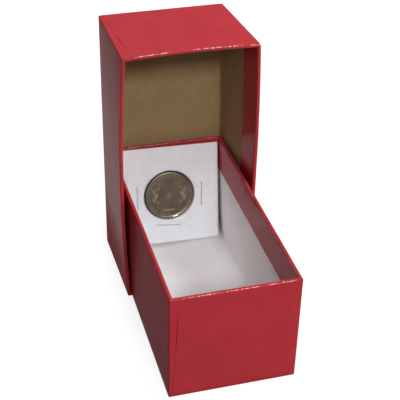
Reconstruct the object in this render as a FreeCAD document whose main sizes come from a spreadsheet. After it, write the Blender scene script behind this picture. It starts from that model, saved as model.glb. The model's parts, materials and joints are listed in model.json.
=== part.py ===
"""Coin storage box: a paper-wrapped board tray for square coin holders, and its telescoping lid.

The box is shown open, as it stands on a table: the lid is up on one end with its mouth to the front,
and the tray lies before it with its rear end pushed into that mouth. One coin holder, a folded card
with a coin behind clear film, leans on the tray's rear wall.

Frame: millimetres, +X to the right, +Y to the back, +Z up. The origin is on the table, under the
middle of the whole.
"""
import FreeCAD, Part
import os
import Sketcher

Vector = FreeCAD.Vector

# Driving dimensions, millimetres and degrees.
SIZES = {
    # Coin holder: one white card, folded in half and stapled round a coin.
    "holder_side": 50.8,      # each edge of the folded card
    "card_thick": 0.4,        # one leaf of the card
    "film_thick": 0.06,       # one leaf of the clear film
    "film_gap": 0.04,         # air between the two leaves of film
    "film_margin": 1.5,       # bare card round the film
    "coin_dia": 24.3,
    "coin_thick": 1.75,       # over the raised rims
    "coin_rim": 1.1,          # width of the raised rim
    "coin_relief": 0.15,      # height of the rim over the field
    "coin_fit": 0.03,         # air between the coin and the film drawn over it
    "window_fit": 0.85,       # gap round the coin inside the card's window
    "staple_crown": 12.6,     # outside length of the crown
    "staple_wire": 0.4,       # wire thickness
    "staple_wide": 0.5,       # wire width
    "staple_bend": 0.3,       # outside radius of its bends
    "staple_turn": 4.6,       # length of each leg turned over on the back
    "staple_inset": 3.3,      # from the window's edge to the crown's middle line
    "staple_slack": 0.05,     # air between the wire and the card
    # Tray: board walls wrapped in red paper and lined in white.
    "holder_fit": 1.35,       # room at each side of a holder
    "headroom": 0.8,          # room over an upright holder, up to the rim
    "inside_length": 116.5,
    "board_thick": 1.2,
    "paper_thick": 0.12,      # red wrapping paper
    "lining_thick": 0.1,      # white paper on the inside of the tray
    "stay_thick": 0.08,       # gummed paper that holds each corner
    "stay_leg": 9.0,          # how far a stay reaches round its corner
    "turn_in": 16.5,          # wrapping paper turned in over the rim
    "flap_foot": 1.6,         # from a corner to the edge of the wrapping's end flap, at the panel
    "flap_inset": 4.2,        # the same at the rim, because the flap is cut narrower there
    "corner_slit": 0.12,      # where a folded end wall butts against a side wall
    "score_depth": 0.5,       # half-cut score that opens as a wall is folded up
    "wrap_round": 0.22,       # outside radius of the paper at the upright corners
    # Lid, and how the two halves and the holder stand together.
    "lid_depth": 47.2,        # inside, from its top panel to its rim
    "lid_fit": 0.4,           # air between the lid and the tray's side walls, each side
    "lid_end_fit": 0.75,      # the same at the tray's end walls
    "end_gap": 0.3,           # between the tray's rear end and the lid's top panel
    "rest_gap": 0.1,          # between the tray's underside and the lid's rim
    "lean_angle": 14.0,       # of the holder, back from the tray's walls
    "tip_angle": 1.65,        # of the holder in its own plane, so that it stands on one corner
    "seat_gap": 0.1,          # between the holder and the tray
}

doc = FreeCAD.newDocument("coin_storage_box")
sheet = doc.addObject("Spreadsheet::Sheet", "Sizes")
for row, (alias, value) in enumerate(SIZES.items(), start=1):
    sheet.set(f"A{row}", alias)
    sheet.set(f"B{row}", str(value))
    sheet.setAlias(f"B{row}", alias)
doc.recompute()

PAPER = "Sizes.paper_thick"
BOARD = "Sizes.board_thick"
STAY = "Sizes.stay_thick"
LINING = "Sizes.lining_thick"


def number(expression):
    """The value of a size expression, in millimetres or degrees."""
    result = sheet.evalExpression(expression)
    return float(getattr(result, "Value", result))


def sketch_on(body, role, name, shift="0", rise="0"):
    """A sketch on one of the body's planes, moved along the plane's normal and up the sketch."""
    plane = next(f for f in body.Origin.OriginFeatures if f.Role == role)
    sketch = body.newObject("Sketcher::SketchObject", name)
    sketch.AttachmentSupport = (plane, [""])
    sketch.MapMode = "FlatFace"
    sketch.setExpression("AttachmentOffset.Base.z", shift)
    sketch.setExpression("AttachmentOffset.Base.y", rise)
    return sketch


def pin(sketch, geometry, point, direction, expression):
    """Hold one coordinate of a sketch point at a size expression."""
    value = number(expression)
    if abs(value) < 1e-9:
        axis = -2 if direction == "X" else -1
        sketch.addConstraint(Sketcher.Constraint("PointOnObject", geometry, point, axis))
        return
    ends = (-1, 1, geometry, point) if value > 0 else (geometry, point, -1, 1)
    bound = expression if value > 0 else f"-({expression})"
    index = sketch.addConstraint(Sketcher.Constraint(f"Distance{direction}", *ends, abs(value)))
    sketch.setExpression(f"Constraints[{index}]", bound)


def outline(sketch, corners):
    """A closed outline of straight edges through corners given as pairs of size expressions."""
    points = [Vector(number(x), number(y), 0) for x, y in corners]
    first = sketch.GeometryCount
    count = len(corners)
    for i in range(count):
        sketch.addGeometry(Part.LineSegment(points[i], points[(i + 1) % count]), False)
    for i, (x, y) in enumerate(corners):
        before = first + (i - 1) % count
        sketch.addConstraint(Sketcher.Constraint("Coincident", before, 2, first + i, 1))
        pin(sketch, first + i, 1, "X", x)
        pin(sketch, first + i, 1, "Y", y)


def rectangle(sketch, x_low, x_high, y_low, y_high):
    outline(sketch, [(x_low, y_low), (x_high, y_low), (x_high, y_high), (x_low, y_high)])


def centred(sketch, width, length, x="0", y="0"):
    """A rectangle about a middle point, which is the sketch's own origin unless it is given."""
    rectangle(sketch, f"{x} - {width}/2", f"{x} + {width}/2", f"{y} - {length}/2", f"{y} + {length}/2")


def circle(sketch, radius, rise):
    """A circle on the sketch's upright axis."""
    ring = Part.Circle(Vector(0, number(rise), 0), Vector(0, 0, 1), number(radius))
    index = sketch.addGeometry(ring, False)
    pin(sketch, index, 3, "X", "0")
    pin(sketch, index, 3, "Y", rise)
    size = sketch.addConstraint(Sketcher.Constraint("Radius", index, number(radius)))
    sketch.setExpression(f"Constraints[{size}]", radius)


def tongue(sketch, half_thick, foot, shoulder):
    """The end view of a folded sheet: two straight faces, closed by a half round over the shoulder."""
    left, right = f"-{half_thick}", half_thick
    half, low, high = number(half_thick), number(foot), number(shoulder)
    corners = [Vector(-half, high, 0), Vector(-half, low, 0), Vector(half, low, 0), Vector(half, high, 0)]
    for start, end in zip(corners, corners[1:]):
        sketch.addGeometry(Part.LineSegment(start, end), False)
    fold = Part.Arc(corners[3], Vector(0, high + half, 0), corners[0])
    sketch.addGeometry(fold, False)
    for i in range(2):
        sketch.addConstraint(Sketcher.Constraint("Coincident", i, 2, i + 1, 1))
    sketch.addConstraint(Sketcher.Constraint("Coincident", 2, 2, 3, 1))
    sketch.addConstraint(Sketcher.Constraint("Coincident", 3, 2, 0, 1))
    for line, x, y in ((0, left, shoulder), (1, left, foot), (2, right, foot)):
        pin(sketch, line, 1, "X", x)
        pin(sketch, line, 1, "Y", y)
    pin(sketch, 2, 2, "X", right)
    pin(sketch, 2, 2, "Y", shoulder)
    pin(sketch, 3, 3, "Y", shoulder)


def pad(body, sketch, length, both_sides=False):
    feature = body.newObject("PartDesign::Pad", f"{sketch.Name}_pad")
    feature.Profile = sketch
    feature.setExpression("Length", length)
    if both_sides:
        feature.SideType = "Symmetric"
    body.Tip = feature
    doc.recompute()
    return feature


def pocket(body, sketch, depth=None):
    """Cut a sketch down to a depth, or right through both ways, and see that it took something away."""
    before = body.Shape.Volume
    feature = body.newObject("PartDesign::Pocket", f"{sketch.Name}_pocket")
    feature.Profile = sketch
    if depth is None:
        feature.Type = "ThroughAll"
        feature.SideType = "Symmetric"
    else:
        feature.setExpression("Length", depth)
    body.Tip = feature
    doc.recompute()
    if body.Shape.Volume > before - 1e-6:
        raise RuntimeError(f"{feature.Name} cuts nothing")
    return feature


def revolve(body, sketch):
    """Turn a sketch once round its own level axis."""
    feature = body.newObject("PartDesign::Revolution", f"{sketch.Name}_turn")
    feature.Profile = sketch
    feature.ReferenceAxis = (sketch, ["H_Axis"])
    feature.Angle = 360
    body.Tip = feature
    doc.recompute()
    return feature


def upright_edges(shape, x, y):
    """Names of the edges along Z that stand at plus or minus x and plus or minus y."""
    names = []
    for index, edge in enumerate(shape.Edges, start=1):
        ends = [vertex.Point for vertex in edge.Vertexes]
        at_corner = all(abs(abs(p.x) - x) + abs(abs(p.y) - y) < 1e-6 for p in ends)
        if at_corner and abs(ends[0].z - ends[-1].z) > 1e-6:
            names.append(f"Edge{index}")
    return names


def level_edges(shape, z):
    """Names of the edges that lie at height z."""
    edges = enumerate(shape.Edges, start=1)
    return [f"Edge{i}" for i, edge in edges if all(abs(v.Z - z) < 1e-6 for v in edge.Vertexes)]


def dress(body, kind, base, edges, size_name, size):
    """A fillet or chamfer on the named edges of a feature."""
    feature = body.newObject(f"PartDesign::{kind}", f"{body.Name}_{kind.lower()}")
    feature.Base = (base, edges)
    feature.setExpression(size_name, size)
    body.Tip = feature
    doc.recompute()
    return feature


def new_body(label, placement):
    body = doc.addObject("PartDesign::Body", label)
    body.Label = label
    body.setExpression("Placement", placement)
    return body


class Half:
    """Size expressions for one half of the box, measured mouth up, on its panel."""

    def __init__(self, width, length, depth, lining):
        self.clear_width = width
        self.clear_length = length
        self.board_width = f"({width} + 2*({lining} + {BOARD}))"
        self.board_length = f"({length} + 2*({lining} + {BOARD}))"
        self.width = f"({self.board_width} + 2*({STAY} + {PAPER}))"
        self.length = f"({self.board_length} + 2*({STAY} + 2*{PAPER}))"
        self.height = f"({depth} + {lining} + {BOARD} + {PAPER})"
        self.floor = f"({PAPER} + {BOARD})"
        self.wall_top = f"({self.height} - {PAPER})"


HOLDER = "Sizes.holder_side"
tray = Half(
    width=f"({HOLDER} + 2*(Sizes.holder_fit + {PAPER}))",
    length="Sizes.inside_length",
    depth=f"({HOLDER} + Sizes.headroom)",
    lining=LINING,
)
lid = Half(
    width=f"({tray.width} + 2*(Sizes.lid_fit + {PAPER}))",
    length=f"({tray.length} + 2*(Sizes.lid_end_fit + {PAPER}))",
    depth="Sizes.lid_depth",
    lining="0",
)

# The tray's underside rests on the rim of the lid's lower end, and its front edge on the table.
RIM = f"({BOARD} + {STAY} + 3*{PAPER})"
OVERHANG = f"({tray.length} - (Sizes.lid_depth - Sizes.end_gap))"
TILT = f"atan(({RIM} + Sizes.rest_gap)/{OVERHANG})"
FRONT = f"(({tray.height}*sin({TILT}) - {OVERHANG} - {lid.height})/2)"
BACK = f"({FRONT} + {OVERHANG} + {lid.height})"
TURN_ABOUT_X = "rotation(vector(1; 0; 0); {})"
TRAY_PLACE = (
    f"placement(vector(0; {FRONT} + {tray.length}/2*cos({TILT}); {tray.length}/2*sin({TILT})); "
    + TURN_ABOUT_X.format(TILT) + ")"
)
LID_PLACE = f"placement(vector(0; {BACK}; {lid.length}/2); " + TURN_ABOUT_X.format("90") + ")"


def make_board(label, half, placement):
    """Board blank with its four walls folded up: scored underneath and slit at the corners."""
    body = new_body(label, placement)
    base = sketch_on(body, "XY_Plane", f"{label}_blank", PAPER)
    centred(base, half.board_width, half.board_length)
    pad(body, base, f"{half.wall_top} - {PAPER}")
    room = sketch_on(body, "XY_Plane", f"{label}_room", half.wall_top)
    room_width = f"({half.board_width} - 2*{BOARD})"
    room_length = f"({half.board_length} - 2*{BOARD})"
    centred(room, room_width, room_length)
    pocket(body, room, f"{half.wall_top} - {half.floor}")
    slits = sketch_on(body, "XY_Plane", f"{label}_slits", half.wall_top)
    for side in ("-", ""):
        for end in ("-", ""):
            near_x, far_x = f"{side}{room_width}/2", f"{side}({room_width}/2 - Sizes.corner_slit)"
            near_y, far_y = f"{end}{room_length}/2", f"{end}{half.board_length}/2"
            rectangle(slits, near_x, far_x, near_y, far_y)
    walls = pocket(body, slits, f"{half.wall_top} - {half.floor}")
    dress(body, "Chamfer", walls, level_edges(walls.Shape, number(PAPER)), "Size", "Sizes.score_depth")
    return body


def make_lining(label, half, placement):
    """White paper on the inside of the board, up to the top of its walls."""
    body = new_body(label, placement)
    sheet_outside = sketch_on(body, "XY_Plane", f"{label}_sheet", half.floor)
    centred(sheet_outside, f"({half.clear_width} + 2*{LINING})", f"({half.clear_length} + 2*{LINING})")
    pad(body, sheet_outside, f"{half.wall_top} - {half.floor}")
    room = sketch_on(body, "XY_Plane", f"{label}_room", half.wall_top)
    centred(room, half.clear_width, half.clear_length)
    pocket(body, room, f"{half.wall_top} - {half.floor} - {LINING}")
    return body


def make_wrap(label, half, placement):
    """Red paper round the outside, over the rim and down the inside, with a tapered flap on each end."""
    body = new_body(label, placement)
    skin = sketch_on(body, "XY_Plane", f"{label}_skin")
    centred(skin, half.width, f"({half.length} - 2*{PAPER})")
    block = pad(body, skin, half.height)
    corners = upright_edges(block.Shape, number(f"{half.width}/2"), number(f"{half.length}/2 - {PAPER}"))
    dress(body, "Fillet", block, corners, "Radius", "Sizes.wrap_round")
    flaps = sketch_on(body, "XZ_Plane", f"{label}_end_flaps")
    foot, rim = f"({half.width}/2 - Sizes.flap_foot)", f"({half.width}/2 - Sizes.flap_inset)"
    outline(flaps, [(f"-{foot}", "0"), (foot, "0"), (rim, half.height), (f"-{rim}", half.height)])
    pad(body, flaps, half.length, both_sides=True)
    board_room = sketch_on(body, "XY_Plane", f"{label}_board_room", half.wall_top)
    centred(board_room, f"({half.board_width} + 2*{STAY})", f"({half.board_length} + 2*{STAY})")
    pocket(body, board_room, f"{half.wall_top} - {PAPER}")
    mouth_width = f"({half.clear_width} - 2*{PAPER})"
    mouth_length = f"({half.clear_length} - 2*{PAPER})"
    mouth = sketch_on(body, "XY_Plane", f"{label}_mouth", half.height)
    centred(mouth, mouth_width, mouth_length)
    pocket(body, mouth, PAPER)
    turned_in = sketch_on(body, "XY_Plane", f"{label}_turned_in", f"{half.height} - Sizes.turn_in")
    centred(turned_in, half.clear_width, half.clear_length)
    centred(turned_in, mouth_width, mouth_length)
    pad(body, turned_in, "Sizes.turn_in")
    return body


def make_stay(label, half, placement, side, end):
    """Gummed paper strip bent round one upright corner, between the board and the wrapping."""
    body = new_body(label, placement)
    strip = sketch_on(body, "XY_Plane", f"{label}_strip", PAPER)
    board_x, board_y = f"{half.board_width}/2", f"{half.board_length}/2"
    wrap_x, wrap_y = f"({board_x} + {STAY})", f"({board_y} + {STAY})"
    foot_x, foot_y = f"({wrap_x} - Sizes.stay_leg)", f"({wrap_y} - Sizes.stay_leg)"
    bend = [
        (foot_x, board_y),
        (board_x, board_y),
        (board_x, foot_y),
        (wrap_x, foot_y),
        (wrap_x, wrap_y),
        (foot_x, wrap_y),
    ]
    outline(strip, [(f"{side}{x}", f"{end}{y}") for x, y in bend])
    pad(body, strip, f"{half.wall_top} - {PAPER}")
    return body


bodies = []
for name, half, place, ends in (
    ("tray", tray, TRAY_PLACE, {"front": "-", "rear": ""}),
    ("lid", lid, LID_PLACE, {"lower": "-", "upper": ""}),
):
    board = make_board(f"{name}_board", half, place)
    carried = f"{board.Name}.Placement"
    bodies += [board, make_wrap(f"{name}_wrap", half, carried)]
    for end, end_sign in ends.items():
        for side, side_sign in (("left", "-"), ("right", "")):
            bodies.append(make_stay(f"{name}_stay_{end}_{side}", half, carried, side_sign, end_sign))
bodies.append(make_lining("tray_lining", tray, "tray_board.Placement"))

# The holder stands on one corner on the tray's lining and leans back on the paper turned in at the rear.
FILM_HALF = "(Sizes.film_gap/2 + Sizes.film_thick)"
HOLDER_HALF = f"({FILM_HALF} + Sizes.card_thick)"
HOLDER_MIDDLE = f"({HOLDER}/2)"
FOLD_CENTRE = f"({HOLDER} - {HOLDER_HALF})"
LEAN = "Sizes.lean_angle"
TIP = "Sizes.tip_angle"
TIPPED_HEIGHT = f"({HOLDER}*(cos({TIP}) + sin({TIP})))"
FOOT_Y = (
    f"({tray.clear_length}/2 - {PAPER} - Sizes.seat_gap - {HOLDER_HALF}"
    f" - ({TIPPED_HEIGHT} - {HOLDER_HALF})*sin({LEAN}))"
)
FOOT_Z = f"({tray.floor} + {LINING} + Sizes.seat_gap + {HOLDER_HALF}*sin({LEAN}))"
HOLDER_PLACE = (
    f"tray_board.Placement * placement(vector(0; {FOOT_Y}; {FOOT_Z}); "
    + TURN_ABOUT_X.format(f"-{LEAN}")
    + f") * placement(vector(0; 0; {TIPPED_HEIGHT}/2); rotation(vector(0; 1; 0); {TIP}))"
    + f" * placement(vector(0; 0; -{HOLDER_MIDDLE}); rotation(vector(0; 1; 0); 0))"
)
ON_CARD = "holder_card.Placement"
COIN_RADIUS = "(Sizes.coin_dia/2)"
WINDOW_RADIUS = f"({COIN_RADIUS} + Sizes.window_fit)"
STAPLE_REACH = f"({WINDOW_RADIUS} + Sizes.staple_inset)"
STAPLE_HALF = "(Sizes.staple_crown/2)"


def pierce(body):
    """A slot through the sheet for each staple leg, beside and below the window."""
    leg = f"({STAPLE_HALF} - Sizes.staple_wire/2)"
    along = "(Sizes.staple_wire + 2*Sizes.staple_slack)"
    across = "(Sizes.staple_wide + 2*Sizes.staple_slack)"
    slots = sketch_on(body, "XZ_Plane", f"{body.Name}_slots")
    for leg_sign in ("-", "+"):
        centred(slots, along, across, f"{leg_sign}{leg}", f"({HOLDER_MIDDLE} - {STAPLE_REACH})")
        for side in ("-", "+"):
            centred(slots, across, along, f"{side}{STAPLE_REACH}", f"({HOLDER_MIDDLE} {leg_sign} {leg})")
    pocket(body, slots)


def make_card():
    """White card folded over at the top, with one round window through both leaves."""
    body = new_body("holder_card", HOLDER_PLACE)
    fold = sketch_on(body, "YZ_Plane", "card_fold")
    tongue(fold, HOLDER_HALF, "0", FOLD_CENTRE)
    pad(body, fold, HOLDER, both_sides=True)
    leaves = sketch_on(body, "YZ_Plane", "card_leaves")
    tongue(leaves, FILM_HALF, "0", FOLD_CENTRE)
    pocket(body, leaves)
    window = sketch_on(body, "XZ_Plane", "card_window")
    circle(window, WINDOW_RADIUS, HOLDER_MIDDLE)
    pocket(body, window)
    pierce(body)
    return body


def make_film():
    """Clear film inside the fold, drawn up over both faces of the coin."""
    body = new_body("holder_film", ON_CARD)
    fold = sketch_on(body, "YZ_Plane", "film_fold")
    tongue(fold, FILM_HALF, "Sizes.film_margin", FOLD_CENTRE)
    pad(body, fold, f"({HOLDER} - 2*Sizes.film_margin)", both_sides=True)
    leaves = sketch_on(body, "YZ_Plane", "film_leaves")
    tongue(leaves, "(Sizes.film_gap/2)", "Sizes.film_margin", FOLD_CENTRE)
    pocket(body, leaves)
    inner = f"({COIN_RADIUS} + Sizes.coin_fit)"
    outer = f"({inner} + Sizes.film_thick)"
    room = sketch_on(body, "XZ_Plane", "film_coin_room")
    circle(room, inner, HOLDER_MIDDLE)
    pocket(body, room)
    pierce(body)
    under = "-(Sizes.coin_thick/2 + Sizes.coin_fit)"
    over = f"({under} - Sizes.film_thick)"
    root = "-Sizes.film_gap/2"
    cap = sketch_on(body, "YZ_Plane", "film_cap", rise=HOLDER_MIDDLE)
    outline(cap, [(under, "0"), (under, inner), (root, inner), (root, outer), (over, outer), (over, "0")])
    front_cap = revolve(body, cap)
    back_cap = body.newObject("PartDesign::Mirrored", "film_back_cap")
    back_cap.Originals = [front_cap]
    middle = next(f for f in body.Origin.OriginFeatures if f.Role == "XZ_Plane")
    back_cap.MirrorPlane = (middle, [""])
    body.Tip = back_cap
    doc.recompute()
    return body


def make_coin():
    """Struck disc with a raised rim round each face."""
    body = new_body("coin", ON_CARD)
    face = "(Sizes.coin_thick/2)"
    field = f"({face} - Sizes.coin_relief)"
    rim_foot = f"({COIN_RADIUS} - Sizes.coin_rim)"
    section = sketch_on(body, "YZ_Plane", "coin_section", rise=HOLDER_MIDDLE)
    right_side = [(field, "0"), (field, rim_foot), (face, rim_foot), (face, COIN_RADIUS)]
    left_side = [(f"-{x}", y) for x, y in reversed(right_side)]
    outline(section, right_side + left_side)
    revolve(body, section)
    return body


def make_staple(label, placement):
    """Flat wire staple: its crown on the front of the card, its legs turned over on the back."""
    body = new_body(label, placement)
    inside = f"({HOLDER_HALF} + Sizes.staple_slack)"
    outside = f"({inside} + Sizes.staple_wire)"
    leg = f"({STAPLE_HALF} - Sizes.staple_wire)"
    tip = f"({STAPLE_HALF} - Sizes.staple_turn)"
    right_side = [
        (STAPLE_HALF, f"-{outside}"),
        (STAPLE_HALF, outside),
        (tip, outside),
        (tip, inside),
        (leg, inside),
        (leg, f"-{inside}"),
    ]
    left_side = [(f"-{x}", y) for x, y in reversed(right_side)]
    wire = sketch_on(body, "XY_Plane", f"{label}_wire")
    outline(wire, right_side + left_side)
    bent = pad(body, wire, "Sizes.staple_wide", both_sides=True)
    bends = upright_edges(bent.Shape, number(STAPLE_HALF), number(outside))
    dress(body, "Fillet", bent, bends, "Radius", "Sizes.staple_bend")
    return body


bodies += [make_card(), make_film(), make_coin()]
UPRIGHT = "rotation(vector(0; 1; 0); -90)"
LEVEL = "rotation(vector(0; 1; 0); 0)"
for label, spot, turn in (
    ("staple_left", f"vector(-{STAPLE_REACH}; 0; {HOLDER_MIDDLE})", UPRIGHT),
    ("staple_right", f"vector({STAPLE_REACH}; 0; {HOLDER_MIDDLE})", UPRIGHT),
    ("staple_bottom", f"vector(0; 0; {HOLDER_MIDDLE} - {STAPLE_REACH})", LEVEL),
):
    bodies.append(make_staple(label, f"{ON_CARD} * placement({spot}; {turn})"))

doc.recompute()
for item in doc.Objects:
    if "Invalid" in item.State or "Error" in item.State:
        raise RuntimeError(f"{item.Label} did not build: {item.State}")
for body in bodies:
    if body.Shape.isNull() or not body.Shape.isValid() or len(body.Shape.Solids) != 1:
        raise RuntimeError(f"{body.Label} is not one sound solid")
os.makedirs("parts", exist_ok=True)
for body in bodies:
    body.Shape.exportStep(f"parts/{body.Label}.step")
print(f"{len(bodies)} pieces written")
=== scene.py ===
"""Coin storage box, dressed: a red paper-wrapped board tray and lid, and one stapled coin holder.

Every piece is in metres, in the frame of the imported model, and rides on the tray, the lid or the holder.
"""
import json
import math

import bmesh
import bpy
from mathutils import Matrix, Vector, noise


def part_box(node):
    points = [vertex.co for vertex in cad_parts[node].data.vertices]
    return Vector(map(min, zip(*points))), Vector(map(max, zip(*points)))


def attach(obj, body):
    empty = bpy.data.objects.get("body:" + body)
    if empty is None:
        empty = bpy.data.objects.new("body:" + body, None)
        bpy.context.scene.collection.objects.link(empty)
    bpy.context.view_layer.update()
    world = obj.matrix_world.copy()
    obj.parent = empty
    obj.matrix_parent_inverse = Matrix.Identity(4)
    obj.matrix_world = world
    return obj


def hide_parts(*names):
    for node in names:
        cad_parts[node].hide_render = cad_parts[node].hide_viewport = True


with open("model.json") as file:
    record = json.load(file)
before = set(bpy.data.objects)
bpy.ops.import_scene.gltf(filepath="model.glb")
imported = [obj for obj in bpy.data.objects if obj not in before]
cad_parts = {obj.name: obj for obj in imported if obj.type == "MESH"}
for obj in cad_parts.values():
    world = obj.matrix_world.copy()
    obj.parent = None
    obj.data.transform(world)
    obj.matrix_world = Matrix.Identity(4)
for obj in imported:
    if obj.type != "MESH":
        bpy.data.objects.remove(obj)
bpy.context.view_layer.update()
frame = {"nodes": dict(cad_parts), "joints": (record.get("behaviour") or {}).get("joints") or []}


# Tray board
# One blank of grey-brown chipboard, about 1.2 mm thick, half-cut along the base lines and folded up.
# Wrapping outside and lining inside cover all of it, so the bare board shows only if they are taken off.
MM = 0.001
BOARD_BROWN = (144, 122, 84)
BOARD_PALE = (150, 129, 91)
BOARD_DARK = (125, 104, 69)
SPECK_BROWN = (84, 62, 40)
BOARD_CLOUD = 9 * MM
BOARD_FIBRE = 0.6 * MM
FIBRE_DEPTH = 0.015 * MM
BOARD_SPECK = 0.8 * MM
BOARD_GLOSS = 0.25


def paint(colour):
    """A shader colour from red, green and blue as a paint chart gives them, 0 to 255."""
    shares = [channel / 255 for channel in colour]
    return tuple(((s + 0.055) / 1.055) ** 2.4 if s > 0.04045 else s / 12.92 for s in shares) + (1.0,)


def add_node(tree, kind, inputs=None, **settings):
    """A shader node with its settings made, and each input linked to a socket or set to a value."""
    made = tree.nodes.new(f"ShaderNode{kind}")
    for name, value in settings.items():
        setattr(made, name, value)
    for name, value in (inputs or {}).items():
        if isinstance(value, bpy.types.NodeSocket):
            tree.links.new(value, made.inputs[name])
        else:
            made.inputs[name].default_value = value
    return made


def grain(tree, size, stretch=(1, 1, 1), detail=3.0):
    """Noise in the piece's own space: size is that of one blotch, in metres, drawn out by stretch."""
    place = add_node(tree, "TexCoord").outputs["Object"]
    scale = [1 / (size * s) for s in stretch]
    mapped = add_node(tree, "Mapping", {"Vector": place, "Scale": scale}).outputs["Vector"]
    return add_node(tree, "TexNoise", {"Vector": mapped, "Scale": 1.0, "Detail": detail}).outputs["Fac"]


def between(tree, value, low, high, out_low=0.0, out_high=1.0):
    """A value carried from one range to another, with soft ends."""
    sockets = {"Value": value, "From Min": low, "From Max": high, "To Min": out_low, "To Max": out_high}
    return add_node(tree, "MapRange", sockets, interpolation_type="SMOOTHSTEP").outputs["Result"]


def cloudy(tree, size, low=0.0, high=1.0, detail=3.0):
    """Soft clouds of a size, in metres, that range from a low to a high value."""
    return between(tree, grain(tree, size, detail=detail), 0.3, 0.7, low, high)


def blended(tree, share, first, second):
    """Two colours mixed by a share of the second: each is a socket, or a colour of a paint chart."""
    first, second = (c if isinstance(c, bpy.types.NodeSocket) else paint(c) for c in (first, second))
    return add_node(tree, "Mix", {0: share, 6: first, 7: second}, data_type="RGBA").outputs[2]


def coat(tree, shader, colour, rough):
    """Give a surface its colour and its roughness."""
    tree.links.new(colour, shader.inputs["Base Color"])
    tree.links.new(rough, shader.inputs["Roughness"])


def new_finish(name):
    """A material with one surface shader: the material, its node tree and that shader."""
    finish = bpy.data.materials.new(name)
    finish.use_nodes = True
    return finish, finish.node_tree, finish.node_tree.nodes["Principled BSDF"]


def relief(tree, shader, height, depth, under=None):
    """Fine relief from a height between 0 and 1, as deep as given in metres, over any coarser relief."""
    bump = add_node(tree, "Bump", {"Height": height, "Distance": depth, "Strength": 1.0})
    if under is not None:
        tree.links.new(under, bump.inputs["Normal"])
    tree.links.new(bump.outputs["Normal"], shader.inputs["Normal"])
    return bump.outputs["Normal"]


def chipboard_finish():
    """Bare chipboard: pressed recycled fibre, cloudy, with long fibres and dark specks."""
    finish, tree, shader = new_finish("chipboard")
    colour = blended(tree, cloudy(tree, BOARD_CLOUD), BOARD_BROWN, BOARD_PALE)
    fibres = grain(tree, BOARD_FIBRE, stretch=(1, 1, 5))
    colour = blended(tree, between(tree, fibres, 0.52, 0.75, 0, 0.3), colour, BOARD_DARK)
    specks = between(tree, grain(tree, BOARD_SPECK, detail=1), 0.74, 0.8, 0, 0.7)
    colour = blended(tree, specks, colour, SPECK_BROWN)
    coat(tree, shader, colour, between(tree, fibres, 0.2, 0.8, 0.8, 0.95))
    shader.inputs["Specular IOR Level"].default_value = BOARD_GLOSS
    relief(tree, shader, fibres, FIBRE_DEPTH)
    return finish


def dress_node(node, finish):
    """Give a CAD piece that keeps its shape a finish."""
    mesh = frame["nodes"][node].data
    mesh.materials.clear()
    mesh.materials.append(finish)


chipboard = chipboard_finish()
dress_node("tray_board", chipboard)


# Tray wrapping
# One sheet of glossy red paper glued round the board. Its sides turn the corners as narrow ears, a flap
# covers the ears on each end, and all of it folds over the rim and down the inside. The rim is scuffed to
# the paper's white core. The lid has rubbed the outside dull, and the part turned in is still fresh.
RED = (170, 52, 59)
RED_DEEP = (165, 49, 55)
CORE_WHITE = (244, 226, 222)
# Colour of the dark line along a flap's cut edge where it has sprung up: partly the cut edge's own colour,
# partly painted shade in the gap under it.
SEAM_SHADE_AND_CUT_EDGE = (96, 12, 22)
PAPER = 0.12 * MM
STAY = 0.08 * MM
BOARD = 1.2 * MM
LINING = 0.1 * MM
TURN_IN = 16.5 * MM
FLAP_FOOT = 1.6 * MM
FLAP_INSET = 4.2 * MM
SEAM_STEP = 0.08 * MM
SEAM_PRESSED = 0.27 * MM
SPRUNG_AT = 0.66
SPRUNG_HALF = 0.2
SEAM_MARGIN = 0.3 * MM
EAR_MIDDLE = 1.2 * MM
CORNER_ROUND = 0.4 * MM
INNER_ROUND = 0.12 * MM
FOOT_ROUND = 0.45 * MM
RIM_ROUND = 0.5 * MM
RIM_WEAR = (0.0, 0.3, 0.85, 1.0, 0.7, 0.3)
INNER_WEAR = (0.3, 0.8, 1.0, 0.6, 0.0, 0.0)
WEAR_SHARE = {"end": 1.0, "corner": 0.8, "side": 0.6}
PANEL_MARGIN = 3.0 * MM
EDGE_WAVE = 0.3 * MM
EDGE_WAVE_LENGTH = 12 * MM
WALL_WAVE = 0.07 * MM
WAVE_LENGTH = 30 * MM
FLAP_STEPS = 20
SIDE_STEPS = 48
CORNER_STEPS = 5
WALL_STEPS = 20
FOLD_STEPS = 5
TURN_IN_STEPS = 6
PAPER_CLOUD = 14 * MM
PAPER_RIPPLE = 18 * MM
RIPPLE_DEPTH = 0.04 * MM
PAPER_TOOTH = 0.5 * MM
TOOTH_DEPTH = 0.0015 * MM
SCUFF_PATCH = 9 * MM
PATCH_RANGE = (0.8, 1.05)
SCUFF_NICK = 0.8 * MM
GLOSS_PATCH = 5 * MM
GLOSS_ROUGH = (0.21, 0.26)
SCUFF_ROUGH = 0.4
DULL_ROUGH = 0.19
DULL_FADE = 1.6
RUBBED_GLOSS = 0.0012
FRESH_GLOSS = 0.07


class BoxHalf:
    """One half of the box, mouth up on its panel: outside sizes, wall thickness, place and warp.

    dulled is how far its paper has lost its gloss, from the end that it is stood on.
    """

    def __init__(self, width, length, height, wall, place, warp, dulled=0.0):
        self.half_x = width / 2
        self.half_y = length / 2 - PAPER
        self.height = height
        self.wall = wall
        self.place = place
        self.warp = warp
        self.dulled = dulled
        self.stations = box_stations(self.half_x)


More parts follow.
